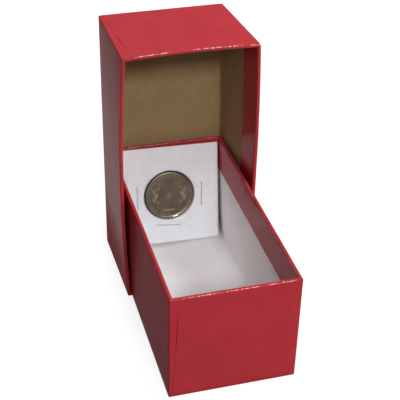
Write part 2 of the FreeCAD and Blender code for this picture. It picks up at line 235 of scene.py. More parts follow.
def box_stations(half_x):
    """Places round a half, anticlockwise from the left of its front end.

    Each is (kind, side, end, value, flap, seam). The value is x on an end, a share of the length on a
    side and an angle at a corner. flap is 1 on an end flap, and seam is 1 along the flap's cut edge.
    """
    edge = half_x - FLAP_INSET
    right_part = [
        (edge - SEAM_MARGIN, 1, 0),
        (edge, 1, 1),
        (edge + SEAM_STEP, 0, 1),
        (edge + SEAM_STEP + SEAM_MARGIN, 0, 0),
        (edge + EAR_MIDDLE, 0, 0),
        (half_x, 0, 0),
    ]
    left_part = [(-x, flap, seam) for x, flap, seam in reversed(right_part)]
    inner_edge = edge - SEAM_MARGIN
    middle = [(inner_edge * (2 * i / FLAP_STEPS - 1), 1, 0) for i in range(1, FLAP_STEPS)]
    across = left_part + middle + right_part
    along = [2 * i / SIDE_STEPS - 1 for i in range(SIDE_STEPS + 1)]
    stations = []
    for end, side, turn in ((-1, 1, -90), (1, -1, 90)):
        run = across if end < 0 else reversed(across)
        stations += [("end", 0, end, x, flap, seam) for x, flap, seam in run]
        stations += [("corner", side, end, math.radians(turn + a), 0, 0) for a in corner_turn()]
        run = along if side > 0 else reversed(along)
        stations += [("side", side, 0, share, 0, 0) for share in run]
        stations += [("corner", side, -end, math.radians(turn + 90 + a), 0, 0) for a in corner_turn()]
    return stations


def corner_turn():
    """Angles round a corner, in degrees, between the two walls that it joins."""
    return [90 * i / CORNER_STEPS for i in range(1, CORNER_STEPS)]


def across_end(half, value, height):
    """Where a place on an end lies across it at a height: the flap is cut wider towards the panel."""
    ear = FLAP_FOOT + (FLAP_INSET - FLAP_FOOT) * height / half.height
    from_corner = half.half_x - abs(value)
    if from_corner > FLAP_INSET:
        return value * (half.half_x - ear) / (half.half_x - FLAP_INSET)
    return math.copysign(half.half_x - from_corner * ear / FLAP_INSET, value)


def sprung_up(half, value, height):
    """How far a flap's cut edge has sprung up: the left one has, on a stretch towards the rim."""
    if value > 0:
        return 0.0
    off_middle = abs(height / half.height - SPRUNG_AT) / SPRUNG_HALF
    return min(max(2 - 2 * off_middle, 0.0), 1.0)


def box_loop(half, inset, height, flap_lift=0.0):
    """One closed loop of points round a half: a rounded rectangle, inset, with the end flaps lifted."""
    reach_x, reach_y = half.half_x - inset, half.half_y - inset
    radius = max(CORNER_ROUND - inset, INNER_ROUND)
    loop = []
    for kind, side, end, value, flap, seam in half.stations:
        if kind == "end":
            limit = reach_x - radius
            if seam and not flap:
                value += math.copysign(SEAM_PRESSED * (1 - sprung_up(half, value, height)), value)
            x = across_end(half, value, height)
            x = x * limit / half.half_x if inset >= PANEL_MARGIN else max(-limit, min(limit, x))
            y = end * (reach_y + flap_lift * flap)
        elif kind == "side":
            x, y = side * reach_x, value * (reach_y - radius)
        else:
            x = side * (reach_x - radius) + radius * math.cos(value)
            y = end * (reach_y - radius) + radius * math.sin(value)
        loop.append(Vector((x, y, height)))
    return loop


def quarter_fold(inset, height, radius, from_angle, to_angle):
    """Points of the sheet's section round a fold, as (inset, height), about the fold's own centre."""
    points = []
    for i in range(FOLD_STEPS + 1):
        angle = math.radians(from_angle + (to_angle - from_angle) * i / FOLD_STEPS)
        points.append((inset - radius * math.cos(angle), height + radius * math.sin(angle)))
    return points


def sheet_object(name, half, loops, smooth_angle=40):
    """A closed sheet through loops of points, with a flat face over the first and the last loop."""
    vertices = [half.place @ half.warp(point) for loop in loops for point in loop]
    return mesh_object(name, vertices, closed_skin(len(half.stations), len(loops)), smooth_angle)


def closed_skin(count, rows):
    """Faces of a skin through rows of so many points, with one face over the first and the last row."""
    last = range((rows - 1) * count, rows * count)
    return [tuple(reversed(range(count)))] + round_faces(count, rows) + [tuple(last)]


def round_faces(count, rows, first=0):
    """Faces between rows of so many points, each of which runs once round."""
    faces = []
    for row in range(rows - 1):
        low = [first + row * count + i for i in range(count)]
        high = [count + i for i in low]
        faces += strip(low + low[:1], high + high[:1])
    return faces


def strip(lower, upper):
    """Faces between two runs of points of the same length."""
    return list(zip(lower, lower[1:], upper[1:], upper))


def mesh_object(name, vertices, faces, smooth_angle):
    """A mesh in the scene, its faces turned out, smooth but for edges over an angle in degrees."""
    mesh = bpy.data.meshes.new(name)
    mesh.from_pydata([tuple(v) for v in vertices], [], faces)
    shell = bmesh.new()
    shell.from_mesh(mesh)
    bmesh.ops.recalc_face_normals(shell, faces=shell.faces)
    shell.to_mesh(mesh)
    shell.free()
    mesh.shade_smooth()
    mesh.set_sharp_from_angle(angle=math.radians(smooth_angle))
    made = bpy.data.objects.new(name, mesh)
    bpy.context.scene.collection.objects.link(made)
    return made


def mark_points(piece, name, values):
    """Keep one number for each point of a piece, for its finish to read."""
    layer = piece.data.attributes.new(name, "FLOAT", "POINT")
    layer.data.foreach_set("value", values)


def fit_piece(piece, body, node, finish):
    """Fix a made piece to its body, in the place of its CAD node, with its finish."""
    piece.data.materials.append(finish)
    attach(piece, body)
    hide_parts(node)


def wave(point, length, height):
    """A slow random swell of the board and paper, between plus and minus the height."""
    return height * noise.noise(point / length)


def wrapping(name, half, inner_wear):
    """The wrapping paper of one half: its outside, the fold over the rim and the part turned in.

    Each row of its section is (inset, height, share of the flap's lift, wear).
    """
    rim_centre = half.height - RIM_ROUND
    wall_top = rim_centre - RIM_ROUND
    section = [(PANEL_MARGIN, 0.0, 0.0, 0.0)]
    for inset, height in quarter_fold(FOOT_ROUND, FOOT_ROUND, FOOT_ROUND, -90, 0):
        section.append((inset, height, height / FOOT_ROUND, 0.0))
    for i in range(1, WALL_STEPS + 1):
        section.append((0.0, FOOT_ROUND + (wall_top - FOOT_ROUND) * i / WALL_STEPS, 1.0, 0.0))
    outer_fold = quarter_fold(RIM_ROUND, rim_centre, RIM_ROUND, 0, 90)
    for (inset, height), worn in zip(outer_fold, RIM_WEAR):
        section.append((inset, height, (half.height - height) / RIM_ROUND, worn))
    inner_fold = quarter_fold(half.wall - RIM_ROUND, rim_centre, RIM_ROUND, 90, 180)
    for (inset, height), worn in zip(inner_fold, inner_wear):
        section.append((inset, height, 0.0, worn))
    for i in range(1, TURN_IN_STEPS + 1):
        section.append((half.wall, rim_centre - (TURN_IN - RIM_ROUND) * i / TURN_IN_STEPS, 0.0, 0.0))
    section += [
        (half.wall - PAPER, half.height - TURN_IN, 0.0, 0.0),
        (half.wall - PAPER, half.height - PAPER, 0.0, 0.0),
        (PAPER, half.height - PAPER, 0.0, 0.0),
        (PAPER, PAPER, 0.0, 0.0),
        (PANEL_MARGIN, PAPER, 0.0, 0.0),
    ]
    loops, wear, seam, dulled = [], [], [], []
    for inset, height, lift, worn in section:
        loop = box_loop(half, inset, height, PAPER * lift)
        at_cut_edge = math.isclose(height, half.height - TURN_IN)
        if at_cut_edge:
            for point in loop:
                point.z += wave(point, EDGE_WAVE_LENGTH, EDGE_WAVE)
        loops.append(loop)
        for kind, _, _, value, _, at_seam in half.stations:
            wear.append(worn * WEAR_SHARE[kind])
            # The seam mark says where painted shade goes, under the stretch of the flap's cut edge that
            # has sprung up.
            seam.append(at_seam * lift * sprung_up(half, value, height))
        dulled += [lift * stood_on(half, point) for point in loop]
    piece = sheet_object(name, half, loops)
    mark_points(piece, "wear", wear)
    mark_points(piece, "seam", seam)
    mark_points(piece, "dulled", dulled)
    return piece


def stood_on(half, point):
    """How much of its gloss a place has lost: 1 near the end that the half is stood on, 0 further up."""
    if half.dulled == 0:
        return 0.0
    return min(max(DULL_FADE * (1 - (point.y + half.half_y) / half.dulled), 0.0), 1.0)


def turned_in(piece, half, finish):
    """Give the part of the wrapping that is turned in, and was never handled, a finish of its own."""
    piece.data.materials.append(finish)
    count = len(half.stations)
    rows_before = 1 + FOLD_STEPS + WALL_STEPS + 2 * (FOLD_STEPS + 1)
    first = 1 + rows_before * count
    for face in piece.data.polygons[first:first + TURN_IN_STEPS * count]:
        face.material_index = 1


def marked(tree, name):
    """The number that mark_points kept under a name."""
    return add_node(tree, "Attribute", attribute_name=name).outputs["Fac"]


def product(tree, first, second):
    """Two values multiplied."""
    return add_node(tree, "Math", {0: first, 1: second}, operation="MULTIPLY").outputs["Value"]


def raised(tree, value, share, amount):
    """A value raised by a share of an amount."""
    inputs = {0: share, 1: amount, 2: value}
    return add_node(tree, "Math", inputs, operation="MULTIPLY_ADD").outputs["Value"]


def red_paper_finish(name, gloss_level):
    """Glossy coated red paper: faintly cloudy, slowly rippled, white where it is scuffed, and dark along a
    sprung-up flap edge, partly its cut edge and partly painted shade.
    """
    finish, tree, shader = new_finish(name)
    colour = blended(tree, cloudy(tree, PAPER_CLOUD), RED, RED_DEEP)
    # Painted shade in the gap under the sprung-up flap edge, over the darker cut edge, read from the seam
    # mark.
    gap = between(tree, marked(tree, "seam"), 0.2, 1.0, 0, 0.6)
    colour = blended(tree, gap, colour, SEAM_SHADE_AND_CUT_EDGE)
    patches = cloudy(tree, SCUFF_PATCH, *PATCH_RANGE, detail=1)
    nicks = product(tree, patches, grain(tree, SCUFF_NICK, detail=3))
    scuffed = between(tree, product(tree, marked(tree, "wear"), nicks), 0.45, 0.5, 0, 0.9)
    colour = blended(tree, scuffed, colour, CORE_WHITE)
    rough = cloudy(tree, GLOSS_PATCH, *GLOSS_ROUGH)
    rough = raised(tree, rough, scuffed, SCUFF_ROUGH)
    rough = raised(tree, rough, marked(tree, "dulled"), DULL_ROUGH)
    coat(tree, shader, colour, rough)
    shader.inputs["Specular IOR Level"].default_value = gloss_level
    ripple = relief(tree, shader, grain(tree, PAPER_RIPPLE, detail=1), RIPPLE_DEPTH)
    relief(tree, shader, grain(tree, PAPER_TOOTH), TOOTH_DEPTH, under=ripple)
    return finish


tray_low, tray_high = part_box("tray_wrap")
lift_axis = next(j for j in frame["joints"] if j["name"] == "holder_lift_out")["axis"]
tray_tilt = math.atan2(-lift_axis[1], lift_axis[2])
# The tray slopes, so its own length and height come from those of its upright box and its tilt.
box_length, box_height = tray_high.y - tray_low.y, tray_high.z - tray_low.z
level, tip = math.cos(tray_tilt), math.sin(tray_tilt)
tray_height = (box_height * level - box_length * tip) / (level**2 - tip**2)
tray_place = (
    Matrix.Translation((tray_low + tray_high) / 2)
    @ Matrix.Rotation(tray_tilt, 4, "X")
    @ Matrix.Translation((0, 0, -tray_height / 2))
)


def tray_warp(point):
    """The tray's walls swell a little, less towards its panel."""
    share = point.z / tray_height
    sway = Vector((wave(point, WAVE_LENGTH, WALL_WAVE), wave(-point, WAVE_LENGTH, WALL_WAVE), 0))
    return point + sway * share


tray = BoxHalf(
    width=tray_high.x - tray_low.x,
    length=(box_length * level - box_height * tip) / (level**2 - tip**2),
    height=tray_height,
    wall=PAPER + STAY + BOARD + LINING + PAPER,
    place=tray_place,
    warp=tray_warp,
)
rubbed_red = red_paper_finish("red_paper_rubbed", RUBBED_GLOSS)
fresh_red = red_paper_finish("red_paper_fresh", FRESH_GLOSS)
tray_paper = wrapping("tray_wrap_paper", tray, INNER_WEAR)
fit_piece(tray_paper, "tray", "tray_wrap", rubbed_red)
turned_in(tray_paper, tray, fresh_red)


# Tray lining
# Thin white paper glued over the inside of the board before it was folded, so it runs unbroken from the
# floor up the walls and under the red paper turned in at the rim.
LINING_WHITE = (241, 240, 241)
LINING_SHADE = (235, 234, 235)
CREASE_ROUND = 0.7 * MM
LINING_CLOUD = 18 * MM
LINING_SWELL = 12 * MM
SWELL_DEPTH = 0.08 * MM
LINING_TOOTH = 0.3 * MM
LINING_TOOTH_DEPTH = 0.008 * MM
LINING_GLOSS = 0.35


def lining(name, half):
    """The lining's inside, rounded in the crease round the floor, and its glued side."""
    outside = half.wall - PAPER - LINING
    inside = outside + LINING
    floor = PAPER + BOARD + LINING
    top = half.height - PAPER
    section = [(outside + PANEL_MARGIN, floor - LINING), (outside, floor - LINING)]
    section += [(outside, top), (inside, top)]
    for i in range(WALL_STEPS - 1, 0, -1):
        section.append((inside, floor + CREASE_ROUND + (top - floor - CREASE_ROUND) * i / WALL_STEPS))
    section += quarter_fold(inside + CREASE_ROUND, floor + CREASE_ROUND, CREASE_ROUND, 0, -90)
    section.append((inside + PANEL_MARGIN, floor))
    loops = [box_loop(half, inset, height) for inset, height in section]
    return sheet_object(name, half, loops)


def white_paper_finish():
    """Matt white paper, faintly cloudy, with the fine tooth of uncoated stock."""
    finish, tree, shader = new_finish("white_paper")
    colour = blended(tree, cloudy(tree, LINING_CLOUD), LINING_WHITE, LINING_SHADE)
    tooth = grain(tree, LINING_TOOTH)
    coat(tree, shader, colour, between(tree, tooth, 0.3, 0.7, 0.55, 0.7))
    shader.inputs["Specular IOR Level"].default_value = LINING_GLOSS
    swell = relief(tree, shader, grain(tree, LINING_SWELL, detail=1), SWELL_DEPTH)
    relief(tree, shader, tooth, LINING_TOOTH_DEPTH, under=swell)
    return finish


fit_piece(lining("tray_lining_sheet", tray), "tray", "tray_lining", white_paper_finish())


# Lid board
# The lid's own chipboard blank, left bare and brown on the inside. Its walls have bowed out at the mouth
# with use, its upper right corner is pressed in at the back, and it sits a little askew on the tray.
BOW_LEFT = 2.3 * MM
BOW_RIGHT = 1.7 * MM
BOW_UPPER = 1.0 * MM
PRESSED_IN = 1.55 * MM
SPREAD_OUT = 0.85 * MM
LID_ASKEW = math.radians(0.7)
LID_ASIDE = 0.1 * MM
STOOD_ON = 34 * MM

lid_low, lid_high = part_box("lid_wrap")
lid_size = lid_high - lid_low
lid_place = (
    Matrix.Translation((LID_ASIDE, (lid_low.y + lid_high.y) / 2, (lid_low.z + lid_high.z) / 2))
    @ Matrix.Rotation(LID_ASKEW, 4, "Z")
    @ Matrix.Rotation(math.pi / 2, 4, "X")
    @ Matrix.Translation((0, 0, -lid_size.y / 2))
)


def lid_warp(point):
    """The lid's bent walls: bowed most halfway along each rim, and out of square at the upper right."""
    depth = point.z / lid_size.y
    along = 2 * point.y / lid_size.z
    across = 2 * point.x / lid_size.x
    bow = BOW_RIGHT if across > 0 else BOW_LEFT
    shift_x = across * bow * (1 - along**2) * depth
    shift_x += max(along, 0) * max(across, 0) * (SPREAD_OUT * depth - PRESSED_IN * (1 - depth))
    shift_y = max(along, 0) * BOW_UPPER * (1 - across**2) * depth
    sway = wave(point, WAVE_LENGTH, WALL_WAVE) * depth * (1 - along**2)
    return point + Vector((shift_x + sway, shift_y, 0))


lid = BoxHalf(
    width=lid_size.x,
    length=lid_size.z,
    height=lid_size.y,
    wall=PAPER + STAY + BOARD + PAPER,
    place=lid_place,
    warp=lid_warp,
    dulled=STOOD_ON,
)


def folded_board(name, half):
    """A board blank folded up: its bare inside, with a tight crease round the panel, and its outside."""
    outside = PAPER + STAY
    inside = outside + BOARD
    foot, floor = PAPER, PAPER + BOARD
    top = half.height - PAPER
    crease = BOARD / 4
    section = [(outside + PANEL_MARGIN, foot), (outside + crease, foot), (outside, foot + crease)]
    section += [(outside, foot + (top - foot) * i / WALL_STEPS) for i in range(1, WALL_STEPS + 1)]
    section += [(inside, top - (top - floor) * i / WALL_STEPS) for i in range(WALL_STEPS)]
    section += [(inside, floor + crease), (inside + crease, floor), (inside + PANEL_MARGIN, floor)]
    loops = [box_loop(half, inset, height) for inset, height in section]
    return sheet_object(name, half, loops, smooth_angle=30)


fit_piece(folded_board("lid_board_folded", lid), "lid", "lid_board", chipboard)


# Lid wrapping
# The same glossy red paper, put on in the same way as the tray's: ears, end flaps, and a wide turn-in
# that hides the upper part of the bare board inside. It has kept more of its gloss than the tray's, but
# is dull near the end that it is stood on. Its rim is scuffed on the outside only.
HANDLED_GLOSS = 0.003
UNWORN = (0.0, 0.0, 0.0, 0.0, 0.0, 0.0)

handled_red = red_paper_finish("red_paper_handled", HANDLED_GLOSS)
lid_paper = wrapping("lid_wrap_paper", lid, UNWORN)
fit_piece(lid_paper, "lid", "lid_wrap", handled_red)
turned_in(lid_paper, lid, fresh_red)


# Corner stays
# Strips of brown gummed paper, wetted and stuck round each upright corner of the tray and of the lid.
# They hold the folded walls together and lie between the board and the wrapping, out of sight.
STAY_TAN = (186, 152, 104)
STAY_SHADE = (160, 126, 82)
STAY_LEG = 9.0 * MM
LEG_STEPS = 4
WEB_LINE = 0.4 * MM
WEB_LINE_DEPTH = 0.01 * MM


def gummed_paper_finish():
    """Kraft paper tape: fine lines along the web, with a dull dried-gum sheen."""
    finish, tree, shader = new_finish("gummed_paper")
    lines = grain(tree, WEB_LINE, stretch=(1, 1, 12))
    colour = blended(tree, between(tree, lines, 0.35, 0.7), STAY_TAN, STAY_SHADE)
    coat(tree, shader, colour, between(tree, lines, 0.3, 0.7, 0.55, 0.75))
    relief(tree, shader, lines, WEB_LINE_DEPTH)
    return finish


def corner_line(half, inset, side, end):
    """Points round one upright corner, from the tip of the leg on the end to that on the side."""
    reach_x, reach_y = half.half_x - inset, half.half_y - inset
    radius = max(CORNER_ROUND - inset, INNER_ROUND)
    leg_x, leg_y = half.half_x - STAY_LEG, half.half_y - STAY_LEG
    line = []
    for i in range(LEG_STEPS):
        line.append((leg_x + (reach_x - radius - leg_x) * i / LEG_STEPS, reach_y))
    for i in range(CORNER_STEPS + 1):
        angle = math.radians(90 - 90 * i / CORNER_STEPS)
        x = reach_x - radius + radius * math.cos(angle)
        line.append((x, reach_y - radius + radius * math.sin(angle)))
    for i in range(1, LEG_STEPS + 1):
        line.append((reach_x, reach_y - radius + (leg_y - reach_y + radius) * i / LEG_STEPS))
    return [(side * x, end * y) for x, y in line]


def corner_stay(name, half, side, end):
    """One strip bent round a corner, from the panel to the rim, with its thickness."""
    outer, inner = (corner_line(half, inset, side, end) for inset in (PAPER, PAPER + STAY))
    ring = outer + inner[::-1]
    foot, top = PAPER + CORNER_ROUND, half.height - 2 * PAPER
    levels = [foot + (top - foot) * i / WALL_STEPS for i in range(WALL_STEPS + 1)]
    vertices = [half.place @ half.warp(Vector((x, y, z))) for z in levels for x, y in ring]
    count = len(ring)
    faces = round_faces(count, len(levels))
    for first in (0, WALL_STEPS * count):
        outside = [first + i for i in range(len(outer))]
        inside = [first + count - 1 - i for i in range(len(outer))]
        faces += strip(outside, inside)
    return mesh_object(name, vertices, faces, smooth_angle=40)


gummed_paper = gummed_paper_finish()
for body, half, ends in (("tray", tray, ("front", "rear")), ("lid", lid, ("lower", "upper"))):
    for end, toward in zip(ends, (-1, 1)):
        for side, hand in (("left", -1), ("right", 1)):
            node = f"{body}_stay_{end}_{side}"
            stay = corner_stay(f"{node}_strip", half, hand, toward)
            fit_piece(stay, body, node, gummed_paper)


# Holder card
# A strip of white card, folded in half at the top, with one round window cut through both leaves.
# It stands on one corner on the tray's floor and leans back on the rear wall. The staples pinch it.
CARD_WHITE = (240, 244, 248)
CARD_SHADE = (234, 238, 242)
CARD_SIDE = 50.8 * MM
CARD_THICK = 0.4 * MM
FILM_THICK = 0.06 * MM
FILM_GAP = 0.04 * MM
COIN_RADIUS = 12.15 * MM
WINDOW_RADIUS = COIN_RADIUS + 0.85 * MM
STAPLE_REACH = WINDOW_RADIUS + 3.3 * MM
STAPLE_HALF = 6.3 * MM
HOLDER_HALF = FILM_GAP / 2 + FILM_THICK + CARD_THICK
FOLD_HEIGHT = CARD_SIDE / 2 - HOLDER_HALF
HOLDER_LEAN = math.radians(14)
HOLDER_TIP = math.radians(1.65)
SEAT_GAP = 0.1 * MM
OUTLINE_STEPS = 40
LEAF_STEPS = 14
PINCH = 0.1 * MM
PINCH_WIDE = 1.3 * MM
SPREAD = 0.22 * MM
SPREAD_WIDE = 4 * MM
CARD_MOTTLE = 6 * MM
CARD_TOOTH = 0.35 * MM
CARD_TOOTH_DEPTH = 0.005 * MM
CARD_GLOSS = 0.4
# Each staple's place on the card, from the window's middle, and its turn from level. They were put in by
# hand, so the right one sits low and the bottom one is a little to the left and askew.
STAPLE_SPOTS = {
    "left": (-STAPLE_REACH, 0.0, math.radians(90)),
    "right": (STAPLE_REACH + 0.4 * MM, -0.9 * MM, math.radians(88)),
    "bottom": (-0.9 * MM, 0.5 * MM - STAPLE_REACH, math.radians(-5)),
}

tray_floor = PAPER + BOARD + LINING
rear_wall = tray.half_y - tray.wall
tipped_height = CARD_SIDE * (math.cos(HOLDER_TIP) + math.sin(HOLDER_TIP))
foot_y = rear_wall - SEAT_GAP - HOLDER_HALF - (tipped_height - HOLDER_HALF) * math.sin(HOLDER_LEAN)
foot_z = tray_floor + SEAT_GAP + HOLDER_HALF * math.sin(HOLDER_LEAN)
holder_place = (
    tray_place
    @ Matrix.Translation((0, foot_y, foot_z))
    @ Matrix.Rotation(-HOLDER_LEAN, 4, "X")
    @ Matrix.Translation((0, 0, tipped_height / 2))
    @ Matrix.Rotation(HOLDER_TIP, 4, "Y")
)


def leaf_outline(half_width, foot, top):
    """Points round a leaf, from its lower left corner, anticlockwise as seen from the front."""
    corners = [(-half_width, foot), (half_width, foot), (half_width, top), (-half_width, top)]
    points = []
    for (x0, z0), (x1, z1) in zip(corners, corners[1:] + corners[:1]):
        for i in range(OUTLINE_STEPS):
            share = i / OUTLINE_STEPS
            points.append((x0 + (x1 - x0) * share, z0 + (z1 - z0) * share))
    return points


def folded_leaves(name, half_width, foot, gap, rows, thickness, closed):
    """A sheet folded in half at the top, as one skin given its thickness: two leaves and the fold.

    Each row is (radius, share, rise): a ring of that radius about the coin's middle, moved by the share
    towards the leaf's outline, and standing that far off the leaf's own plane. A closed sheet has no
    window inside its first ring.
    """
    rim = leaf_outline(half_width, foot, FOLD_HEIGHT)
    count = len(rim)
    vertices, faces = [], []
    for side in (-1, 1):
        first = len(vertices)
        for radius, share, rise in rows:
            for x, z in rim:
                reach = math.hypot(x, z)
                at = radius / reach * (1 - share) + share
                spot = Vector((x * at, side * (gap + rise), z * at))
                vertices.append(spot)
        leaf_faces = round_faces(count, len(rows), first)
        if closed:
            leaf_faces.append(tuple(reversed(range(first, first + count))))
        faces += leaf_faces if side < 0 else [face[::-1] for face in leaf_faces]
    leaf = len(rows) * count
    top_row = (len(rows) - 1) * count
    top_run = list(range(2 * OUTLINE_STEPS, 3 * OUTLINE_STEPS + 1))
    previous = [top_row + i % count for i in top_run]
    last = [leaf + top_row + i % count for i in top_run]
    for step in range(1, FOLD_STEPS + 1):
        angle = math.pi * step / (FOLD_STEPS + 1)
        ring = []
        for i in top_run:
            ring.append(len(vertices))
            x = rim[i % count][0]
            vertices.append(Vector((x, -gap * math.cos(angle), FOLD_HEIGHT + gap * math.sin(angle))))
        faces += strip(previous, ring)
        previous = ring
    faces += strip(previous, last)
    piece = mesh_object(name, vertices, faces, smooth_angle=40)
    piece.modifiers.new("thickness", "SOLIDIFY").thickness = thickness
    piece.modifiers["thickness"].offset = 0
    return piece


def pinch_at(x, z):
    """How far the staples press a leaf in, at a point of the card."""
    pressed = 0.0
    for spot_x, spot_z, turn in STAPLE_SPOTS.values():
        off_x, off_z = x - spot_x, z - spot_z
        along = off_x * math.cos(turn) + off_z * math.sin(turn)
        across = off_z * math.cos(turn) - off_x * math.sin(turn)
        past_end = max(0.0, abs(along) - STAPLE_HALF)
        pressed += math.exp(-((math.hypot(past_end, across) / PINCH_WIDE) ** 2))
    return PINCH * min(pressed, 1.0)


def card_leaves():
    """The folded card, spread a little round its window and pinched at its staples."""
    rows = []
    for i in range(LEAF_STEPS + 1):
        share = i / LEAF_STEPS
        width = share * (CARD_SIDE / 2 - WINDOW_RADIUS)
        rows.append((WINDOW_RADIUS, share, SPREAD * math.exp(-((width / SPREAD_WIDE) ** 2))))
    gap = HOLDER_HALF - CARD_THICK / 2
    edge = CARD_SIDE / 2
    piece = folded_leaves("holder_card_folded", edge, -edge, gap, rows, CARD_THICK, closed=False)
    for point in piece.data.vertices:
        if point.co.z < FOLD_HEIGHT:
            point.co.y -= math.copysign(pinch_at(point.co.x, point.co.z), point.co.y)
    return piece


def white_card_finish():
    """Smooth coated white card with faint mottling and a soft sheen."""
    finish, tree, shader = new_finish("white_card")
    colour = blended(tree, cloudy(tree, CARD_MOTTLE), CARD_WHITE, CARD_SHADE)
    tooth = grain(tree, CARD_TOOTH)
    coat(tree, shader, colour, between(tree, tooth, 0.3, 0.7, 0.4, 0.55))
    shader.inputs["Specular IOR Level"].default_value = CARD_GLOSS
    relief(tree, shader, tooth, CARD_TOOTH_DEPTH)
    return finish


def fit_to_holder(piece, node, finish):
    """Set a piece of the holder where the holder leans, and fix it to that body."""
    piece.matrix_world = holder_place
    fit_piece(piece, "holder", node, finish)


fit_to_holder(card_leaves(), "holder_card", white_card_finish())


# Coin
# One struck coin of dull nickel alloy with a raised rim, a ring of beads, a generic wreath of two
# branches round a rosette, and a short bar below. It is toned brown, with its high points rubbed bright.
COIN_NICKEL = (156, 144, 124)
COIN_TONED = (133, 120, 99)
COIN_BRIGHT = (210, 198, 178)
COIN_HALF_THICK = 0.875 * MM
RIM_WIDTH = 1.1 * MM
RIM_HEIGHT = 0.15 * MM
# The rim's section: how far out from the field, and what share of the rim's height.
RIM_SECTION = ((0.12 * MM, 0.7), (0.3 * MM, 1.0), (0.85 * MM, 1.0), (1.04 * MM, 0.6))
RIM_BRIGHT = 0.35
REED_COUNT = 120
REED_DEPTH = 0.05 * MM
REED_INSET = 0.05 * MM
REED_BRIGHT = 0.5
RELIEF = 0.12 * MM
BEAD_COUNT = 72
BEAD_RING = 10.5 * MM
BEAD_RADIUS = 0.28 * MM
BEAD_RISE = 0.7
LEAVES_PER_BRANCH = 9
WREATH_RADIUS = 7.5 * MM
BRANCH_FOOT = -62
BRANCH_SWEEP = 128
LEAF_LONG = 1.6 * MM
LEAF_WIDE = 0.7 * MM
LEAF_TAPER = 0.35
LEAF_LEAN = 0.45
LEAF_ASIDE = 0.75 * MM
LEAF_RISE = 0.8
LEAF_GROWN = 1.5
LEAF_SHRUNK = 0.8
RIB_WIDE = 0.12 * MM
RIB_DIP = 0.35
PETALS = 6
PETAL_NOTCH = 0.55
PETAL_ROUND = 0.6
ROSETTE_RADIUS = 2.6 * MM
ROSETTE_RISE = 0.45
BOSS_RADIUS = 0.9 * MM
BOSS_RISE = 0.4
BAR_LOW = -7.7 * MM
BAR_HALF = 2.4 * MM
BAR_WIDE = 0.45 * MM
BAR_RISE = 0.62
TONING_PATCH = 5 * MM
COIN_HAIRLINE = 0.25 * MM
HAIRLINE_DEPTH = 0.004 * MM
COIN_RINGS = 84
COIN_TURNS = 360


def dome(distance):
    """Height of a rounded form, 1 at its middle and 0 from a distance of 1."""
    return math.sqrt(1 - distance**2) if distance < 1 else 0.0


def wreath_leaves():
    """Middle, direction and size of each leaf on two branches, from foot to tip, largest halfway up."""
    leaves = []
    for side in (-1, 1):
        for i in range(LEAVES_PER_BRANCH):
            turn = math.radians(BRANCH_FOOT + BRANCH_SWEEP * i / (LEAVES_PER_BRANCH - 1))
            outward = 1 if i % 2 else -1
            radius = WREATH_RADIUS + outward * LEAF_ASIDE
            x, z = radius * math.cos(turn), radius * math.sin(turn)
            heading = turn + math.pi / 2 - outward * LEAF_LEAN
            grown = LEAF_GROWN - LEAF_SHRUNK * abs(2 * i / (LEAVES_PER_BRANCH - 1) - 1)
            leaves.append((side * x, z, side * math.cos(heading), math.sin(heading), grown))
    return leaves


def coin_relief(x, z, leaves):
    """Height of the struck design over the coin's field, as a share of the full relief."""
    radius, angle = math.hypot(x, z), math.atan2(z, x)
    if radius > COIN_RADIUS - RIM_WIDTH:
        return 0.0
    step = math.tau / BEAD_COUNT
    off_bead = (angle / step - round(angle / step)) * step * BEAD_RING
    height = BEAD_RISE * dome(math.hypot(radius - BEAD_RING, off_bead) / BEAD_RADIUS)
    for leaf_x, leaf_z, along_x, along_z, grown in leaves:
        dx, dz = (x - leaf_x) / grown, (z - leaf_z) / grown
        along, across = dx * along_x + dz * along_z, dz * along_x - dx * along_z
        if abs(along) < LEAF_LONG and abs(across) < LEAF_WIDE:
            taper = 1 - LEAF_TAPER * along / LEAF_LONG
            body = dome(math.hypot(along / LEAF_LONG, across / (LEAF_WIDE * taper)))
            rib = RIB_DIP * math.exp(-((across / RIB_WIDE) ** 2))
            height = max(height, (LEAF_RISE - rib) * body * grown / LEAF_GROWN)
    petal = abs(math.cos(PETALS * angle / 2)) ** PETAL_ROUND
    petal_reach = ROSETTE_RADIUS * (1 - PETAL_NOTCH + PETAL_NOTCH * petal)
    height = max(height, ROSETTE_RISE * dome(radius / petal_reach))
    height = max(height, BOSS_RISE * dome(radius / BOSS_RADIUS))
    off_bar = math.hypot(max(abs(x) - BAR_HALF, 0.0), z - BAR_LOW)
    return max(height, BAR_RISE * dome(off_bar / BAR_WIDE))


def coin_profile():
    """Radius and height of each ring of a coin face, over its field, from the middle to the edge."""
    field = COIN_RADIUS - RIM_WIDTH
    rings = [(field * (i + 1) / COIN_RINGS, 0.0) for i in range(COIN_RINGS)]
    return rings + [(field + out, share * RIM_HEIGHT) for out, share in RIM_SECTION]


def coin_face(side, field):
    """Rings of points, each with its brightness, from the middle of one struck face to its edge."""
    leaves = wreath_leaves()
    rings = []
    for radius, rise in coin_profile():
        ring = []
        for i in range(COIN_TURNS):
            angle = math.tau * i / COIN_TURNS
            x, z = radius * math.cos(angle), radius * math.sin(angle)
            struck = coin_relief(x, z, leaves)
            spot = Vector((x, side * (field + rise + RELIEF * struck), z))
            ring.append((spot, max(struck, RIM_BRIGHT * rise / RIM_HEIGHT)))
        rings.append(ring)
    return rings


def reeded_edge(field):
    """Rings of points, each with its brightness, across the coin's edge with its fine upright grooves."""
    rings = []
    for share in (-1, -0.5, 0, 0.5, 1):
        y = share * (field - REED_INSET)
        ring = []
        for i in range(COIN_TURNS):
            angle = math.tau * i / COIN_TURNS
            reach = COIN_RADIUS - REED_DEPTH * (0.5 + 0.5 * math.cos(REED_COUNT * angle))
            ring.append((Vector((reach * math.cos(angle), y, reach * math.sin(angle))), REED_BRIGHT))
        rings.append(ring)
    return rings


